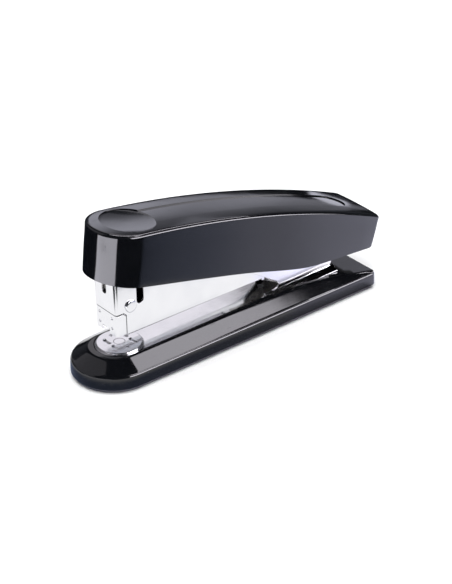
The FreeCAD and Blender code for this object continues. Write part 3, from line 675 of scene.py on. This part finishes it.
def makeAnvil(c):
    def dent(x, y):
        # pockets that turn the staple's legs, one pair for each way round, and small round marks
        across, along = c["pocketHalf"]
        deep = 0.0
        for way in (1, -1):
            away = (x - c["x"]) * way - (c["pocketX"] - c["x"])
            s = abs(y) - c["pocketY"]
            w = away - way * c["pocketBow"] * s * s
            if abs(s) < along and abs(w) < across:
                deep = c["pocketDepth"] * math.sqrt(1 - (s / along) ** 2) * (1 - (w / across) ** 4)
        spot = math.hypot(x - c["x"], abs(y) - c["markY"]) / c["markRadius"]
        return max(deep, c["markDepth"] * (1 - spot ** 4) if spot < 1 else 0.0)

    def place(r, a, h):
        x, y = c["x"] + r * math.cos(a), r * math.sin(a)
        return Vector((x, y, h - (dent(x, y) if h > c["top"] - 0.01 else 0)))

    def rim(r, h, size):
        # the quarter round between a flat top and an outer wall
        turns = [math.radians(turn) for turn in (90, 67, 45, 22, 0)]
        return [(r - size * (1 - math.cos(a)), h - size * (1 - math.sin(a))) for a in turns]

    inner, boss = c["stemRadius"] + 0.03, c["bossRadius"]
    count = round((boss - 0.35 - inner) / c["ringStep"])
    profile = [(inner, c["low"]), (inner, c["top"] - 0.15), (inner + 0.12, c["top"])]
    profile += [(share(inner + 0.12, boss - 0.35, i / count), c["top"]) for i in range(1, count)]
    profile += rim(boss, c["top"], 0.35)
    profile += [(boss, c["flangeTop"] + 0.25), (boss + 0.08, c["flangeTop"] + 0.08),
                (boss + 0.25, c["flangeTop"])]
    profile += rim(c["radius"], c["flangeTop"], 0.4)
    profile += [(c["radius"], c["low"] + 0.2), (c["radius"] - 0.2, c["low"])]
    bm = bmesh.new()
    first, last = turned(bm, profile, place, c["steps"])
    bmesh.ops.bridge_loops(bm, edges=loopEdges(bm, first) + loopEdges(bm, last))
    return finishPiece(bm, "anvilDisc", "anvil", ["anvil_disc"], "bright_chrome")


makeRivets(rivetShape)
makeAnvil(anvilShape)


# floor, room and lights

studio = dict(floorSize=6.0, tableLow=(-0.30, -0.30), tableHigh=(0.36, 0.26), tableCell=0.005)


def glowOf(x, y):
    # painted light of the table here, in millimetres: white beside the object, falling off
    # to a dim far side, with one bright panel in front of the nose and a painted shadow round the object's
    # foot
    side = 0.78 * x + 0.626 * y
    levels = [(-66, 0.02), (-58, 0.30), (-38, 0.52), (-22, 0.67), (-3, 0.93), (16, 1.07), (35, 1.42),
              (60, 1.75)]
    far = 0.01 if side < -66 or y > 0 else max(between(levels, side), 0.01)
    warmth = min(far, 1.0)
    tone = Vector((share(0.72, 1.0, warmth), share(0.86, 1.0, warmth), share(1.3, 1.22, warmth)))
    glow = tone * far
    white = Vector((1.12, 1.12, 1.14))
    near = between([(-30, -79), (-3.5, -73.5), (20, -63), (42, -52.5), (56, -44), (65, -39.5)], x)
    fade = min(max((y - near + 3) / 5, 0), 1) * min(max((84 - y) / 6, 0), 1) * min(max((x + 134) / 8, 0), 1)
    if far < 1.0:
        glow = glow.lerp(white, fade)
    # painted shadow: close round the base the glow drops to a third, where the object's own shadow would
    # fall on the table
    out = math.hypot(min(x + 61.7, 0), y) - 22 if x < 85 else 60
    shade = share(16, 11, min(max(x / 40, 0), 1))
    if out < shade:
        glow = (tone * 0.3).lerp(glow, max(out - shade * 0.55, 0) / (shade * 0.45))
    turn = math.degrees(math.atan2(-y, -(x + 57)))
    if 118 < math.hypot(x + 57, y) < 270:
        panel = min(max((turn + 20) / 2, 0), 1) * min(max((44.5 - turn) / 1.5, 0), 1)
        glow = glow.lerp(Vector((6.3, 6.2, 6.8)), panel)
    return glow


def topGlowOf(u, h):
    # the tall panel that the cover's top mirrors: a hard edge on the far side, dimmer towards the near side
    # and the tail, a bright lens near the tail and a pale patch for the rear deck
    across = u + 1.1 * h
    edge = min(max((across - 1.08) / 0.03, 0), 1)
    fall = between([(1.30, 1.0), (1.37, 0.85), (1.45, 0.55), (1.55, 0.38), (1.7, 0.3)], across)
    along = between([(0.74, 1.75), (0.82, 1.45), (0.89, 1.1), (0.95, 0.87), (1.09, 0.76), (1.16, 0.5),
                     (1.25, 0.33)], u)
    glow = edge * fall * along
    alongLens = ((u - 1.18) * 0.81 + (h + 0.13) * 0.58) / 0.095
    acrossLens = ((h + 0.13) * 0.81 - (u - 1.18) * 0.58) / 0.042
    if alongLens ** 2 + acrossLens ** 2 < 1:
        glow = 1.5
    if u > 1.02 and h > 0.42:
        glow = 0.65
    return Vector((0.94, 0.94, 1.08)) * glow


def glowMaterial(name, glow):
    m = bpy.data.materials.new(name)
    m.use_nodes = True
    t = m.node_tree
    t.nodes.remove(t.nodes["Principled BSDF"])
    light = addNode(t, "ShaderNodeEmission", {"Color": linear("#f6f3fb")})
    if glow:
        light.inputs["Strength"].default_value = glow
    else:
        level = addNode(t, "ShaderNodeAttribute", {"attribute_name": "glow"})
        t.links.new(level.outputs["Color"], light.inputs["Color"])
    t.links.new(light.outputs[0], t.nodes["Material Output"].inputs["Surface"])
    return m


def stagePiece(bm, name, material, mirrorsOnly=True):
    mesh = bpy.data.meshes.new(name)
    bm.to_mesh(mesh)
    bm.free()
    mesh.materials.append(material)
    piece = bpy.data.objects.new(name, mesh)
    scene.collection.objects.link(piece)
    if mirrorsOnly:
        piece.visible_camera = piece.visible_diffuse = False
        piece.visible_shadow = piece.visible_transmission = False
    return piece


def makeFloor(setup):
    bm = bmesh.new()
    bmesh.ops.create_grid(bm, x_segments=4, y_segments=4, size=setup["floorSize"] / 2)
    # matt studio paper: near-white with a barely seen mottle
    m, t, shader, place = startMaterial("matt studio paper", {"Roughness": 0.9, "Specular IOR Level": 0.1})
    cloud = addNode(t, "ShaderNodeTexNoise", {"Scale": 3.0, "Detail": 2.0}, {"Vector": place})
    colour = twoTone(t, "#f6f6f7", "#f3f3f4", cloud)
    t.links.new(colour.outputs[2], shader.inputs["Base Color"])
    floor = stagePiece(bm, "floor", m, mirrorsOnly=False)
    floor.visible_glossy = False


def makePaintedTableGlow(setup):
    # the part of the table that the gloss and the chrome mirror, a glow with its light and shade painted in:
    # brightest beside the object, with a painted shadow at its foot
    (x0, y0), (x1, y1), cell = setup["tableLow"], setup["tableHigh"], setup["tableCell"]
    bm = bmesh.new()
    across, along = round((x1 - x0) / cell), round((y1 - y0) / cell)
    bmesh.ops.create_grid(bm, x_segments=across, y_segments=along, size=0.5)
    bmesh.ops.scale(bm, vec=(x1 - x0, y1 - y0, 1), verts=bm.verts[:])
    bmesh.ops.translate(bm, vec=((x0 + x1) / 2, (y0 + y1) / 2, 0.00002), verts=bm.verts[:])
    layer = bm.verts.layers.float_color.new("glow")
    for vertex in bm.verts:
        vertex[layer] = (*glowOf(vertex.co.x * 1000, vertex.co.y * 1000), 1)
    stagePiece(bm, "paintedTableGlow", glowMaterial("painted light and shadow of the table", 0))


def makeTopPanel(away=1.5):
    # stands across the far side; u and h are its width and height as shares of its distance
    bm = bmesh.new()
    bmesh.ops.create_grid(bm, x_segments=60, y_segments=110, size=0.5)
    layer = bm.verts.layers.float_color.new("glow")
    for vertex in bm.verts:
        u, h = 1.0 + vertex.co.x * 0.6, 0.05 + vertex.co.y * 1.1
        vertex[layer] = (*topGlowOf(u, h), 1)
        vertex.co = (u * away, away, h * away + 0.06)
    stagePiece(bm, "topPanel", glowMaterial("graded fabric panel", 0))


def glowPolygon(name, corners, height, glow):
    # a flat reflector board cut to an outline, hung at this height, in millimetres
    bm = bmesh.new()
    board = bmesh.ops.create_circle(bm, segments=len(corners), radius=1.0, cap_ends=True)
    board["verts"].sort(key=lambda v: math.atan2(v.co.y, v.co.x) % math.tau)
    for vertex, (x, y) in zip(board["verts"], corners):
        vertex.co = (x / 1000, y / 1000, height / 1000)
    stagePiece(bm, name, glowMaterial(name, glow))


def glowCard(name, centre, width, height, glow, squareness, facing):
    # a soft box with rounded corners, seen only in reflections
    bm = bmesh.new()
    disc = bmesh.ops.create_circle(bm, segments=64, radius=1.0, cap_ends=True)
    for vertex in disc["verts"]:
        x, y = vertex.co.x, vertex.co.y
        size = (abs(x) ** squareness + abs(y) ** squareness) ** (1 / squareness)
        vertex.co = (x / size * width / 2, y / size * height / 2, 0)
    aim = (Vector(facing) - Vector(centre)).to_track_quat("-Z", "Y").to_matrix()
    bmesh.ops.rotate(bm, matrix=aim, verts=bm.verts[:])
    bmesh.ops.translate(bm, vec=centre, verts=bm.verts[:])
    stagePiece(bm, name, glowMaterial(name, glow))


def fillLight(name, spot, width, height, watts):
    data = bpy.data.lights.new(name, "AREA")
    data.shape = "RECTANGLE"
    data.size = width
    data.size_y = height
    data.energy = watts
    light = bpy.data.objects.new(name, data)
    light.location = spot
    light.rotation_euler = (-Vector(spot)).to_track_quat("-Z", "Y").to_euler()
    light.visible_glossy = False
    light.visible_camera = False
    scene.collection.objects.link(light)


def makeWorld():
    # a dim room, a little paler at the horizon
    world = bpy.data.worlds.new("studioRoom")
    world.use_nodes = True
    t = world.node_tree
    place = addNode(t, "ShaderNodeTexCoord").outputs["Generated"]
    height = addNode(t, "ShaderNodeSeparateXYZ", None, {"Vector": place})
    level = addNode(t, "ShaderNodeMapRange", {"From Min": -1.0, "From Max": 1.0},
                    {"Value": height.outputs["Z"]})
    ramp = addNode(t, "ShaderNodeValToRGB", None, {"Fac": level.outputs[0]})
    back = t.nodes["Background"]
    t.links.new(ramp.outputs["Color"], back.inputs["Color"])
    stops = [(0.0, 0.01), (0.49, 0.01), (0.53, 0.10), (0.62, 0.10), (0.78, 0.01), (1.0, 0.005)]
    ramp.color_ramp.elements[0].position = stops[0][0]
    ramp.color_ramp.elements[1].position = stops[-1][0]
    for position, shade in stops[1:-1]:
        ramp.color_ramp.elements.new(position)
    for element, (position, shade) in zip(ramp.color_ramp.elements, stops):
        element.color = (shade * 0.9, shade * 0.95, shade * 1.1, 1)
    scene.world = world


# lights and reflector boards, in the order that they are made
# a light: place, width, height and watts
# a polygon: outline and height in millimetres, then glow
# a card: centre, width, height, glow, squareness and the place that it faces
stage = dict(
    topFill=(fillLight, (0.0, 0.0, 1.4), 2.0, 2.0, 44),
    frontFill=(fillLight, (-0.7, -0.9, 0.9), 1.2, 1.2, 8),
    flankBoard=(glowPolygon, [(434, -120), (419, -70), (245, -70), (245, -420), (345, -420), (378, -220),
                              (411, -170), (430, -146)], 600, 6.4),
    creaseBoard=(glowCard, (0.6, -0.9, 0.3), 1.3, 0.44, 14.0, 8.0, (0.6, 0, 0.3)),
    wallBoard=(glowCard, (0.6, -0.9, 0.86), 1.3, 0.62, 1.1, 8.0, (0.6, 0, 0.86)),
    slateBoard=(glowPolygon, [(-225, 3000), (-3000, 3000), (-3000, 20), (-225, 20)], 600, 0.5),
    edgeBoard=(glowPolygon, [(800, 170), (0, 170), (0, 70), (800, 70)], 600, 14.0),
    railBox=(glowCard, (0.39, 0.68, 0.50), 0.30, 0.50, 1.05, 3.0, (0.39, 0.68, 0)))

makeFloor(studio)
makePaintedTableGlow(studio)
makeWorld()
makeTopPanel()
for name, (maker, *settings) in stage.items():
    maker(name, *settings)
scene.view_settings.view_transform = "Standard"
print("studio set")
